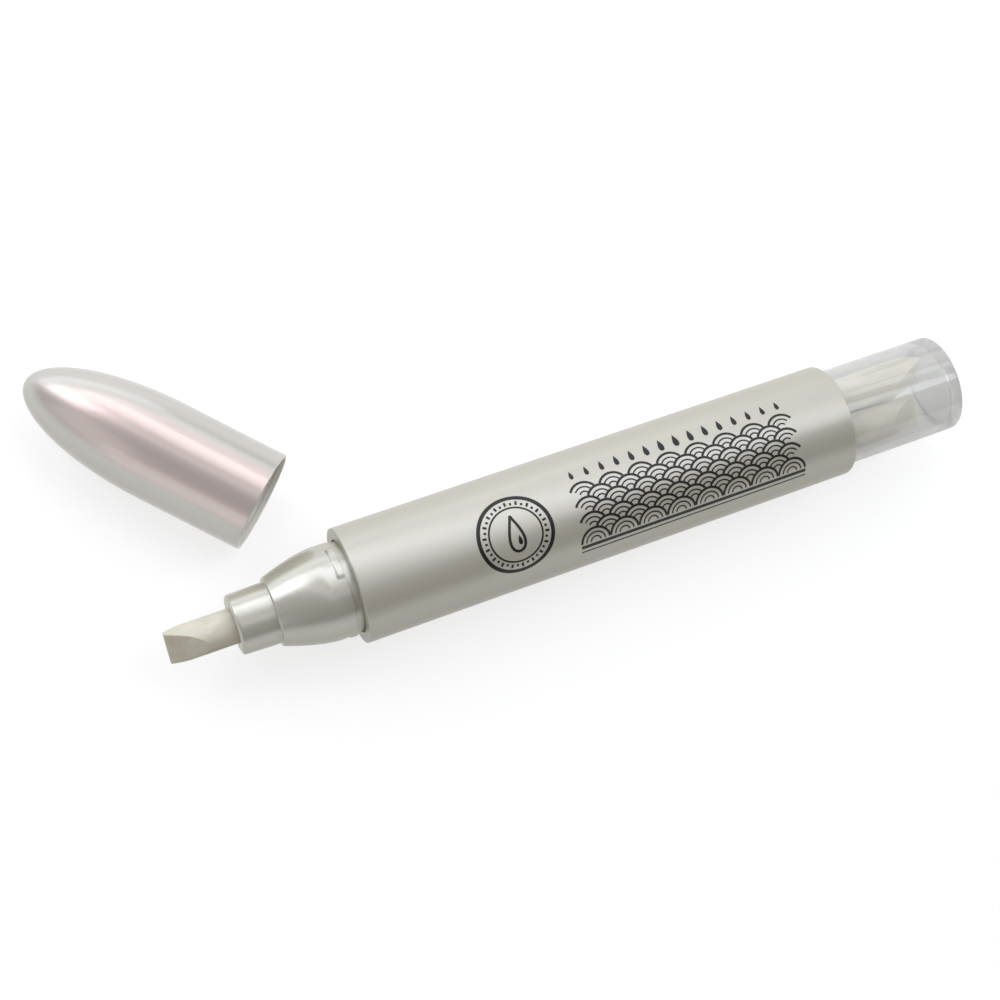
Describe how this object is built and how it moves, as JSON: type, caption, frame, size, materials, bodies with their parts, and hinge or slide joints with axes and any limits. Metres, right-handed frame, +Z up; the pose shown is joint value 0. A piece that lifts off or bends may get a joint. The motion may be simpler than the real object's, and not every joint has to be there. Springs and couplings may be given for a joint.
{
  "type": "felt tip oil pen",
  "caption": "Felt-tip nail oil pen with a chisel tip, a bullet-shaped cap laid beside it and spare tips under a clear push-fit tail cover.",
  "frame": {"origin": "on the pen's axis, at the front end face of the barrel", "axes": "+X along the pen towards its tail, the tip points to -X, +Z up from the table on which pen and cap lie, +Y towards the side where the cap lies"},
  "size_m": [0.1147, 0.0462, 0.015],
  "materials": {
    "barrel_pearl": "pearl lacquer",
    "nose_pearl": "pearl moulded",
    "felt": "bonded fibre",
    "wadding": "oil-soaked fibre",
    "film": "thin clear film",
    "holder_plastic": "moulded",
    "clear_plastic": "clear polished",
    "cap_pearl": "pink pearl lacquer",
    "liner_plastic": "soft moulded"
  },
  "bodies": {
    "pen": {"barrel": "barrel_pearl", "nose_section": "nose_pearl", "reservoir_core": "wadding", "reservoir_film": "film", "spare_nib_holder": "holder_plastic"},
    "tip": {"nib": "felt"},
    "tail_cover": {"tail_cover": "clear_plastic"},
    "upper_spare_tip": {"spare_nib_1": "felt"},
    "lower_spare_tip": {"spare_nib_2": "felt"},
    "rear_spare_tip": {"spare_nib_3": "felt"},
    "cap": {"cap_shell": "cap_pearl", "cap_liner": "liner_plastic"}
  },
  "joints": [
    {"name": "tip_pull", "type": "slide", "parent": "pen", "child": "tip", "axis": [-1, 0, 0], "range_m": [0, 0.021]},
    {"name": "tail_cover_pull", "type": "slide", "parent": "pen", "child": "tail_cover", "axis": [1, 0, 0], "range_m": [0, 0.02]},
    {"name": "upper_spare_pull", "type": "slide", "parent": "pen", "child": "upper_spare_tip", "axis": [1, 0, 0], "range_m": [0, 0.0017]},
    {"name": "lower_spare_pull", "type": "slide", "parent": "pen", "child": "lower_spare_tip", "axis": [1, 0, 0], "range_m": [0, 0.0039]},
    {"name": "rear_spare_pull", "type": "slide", "parent": "pen", "child": "rear_spare_tip", "axis": [1, 0, 0], "range_m": [0, 0.0039]},
    {"name": "cap_lift", "type": "slide", "parent": "pen", "child": "cap", "axis": [0, 0, 1], "range_m": [0, 0.06]}
  ]
}
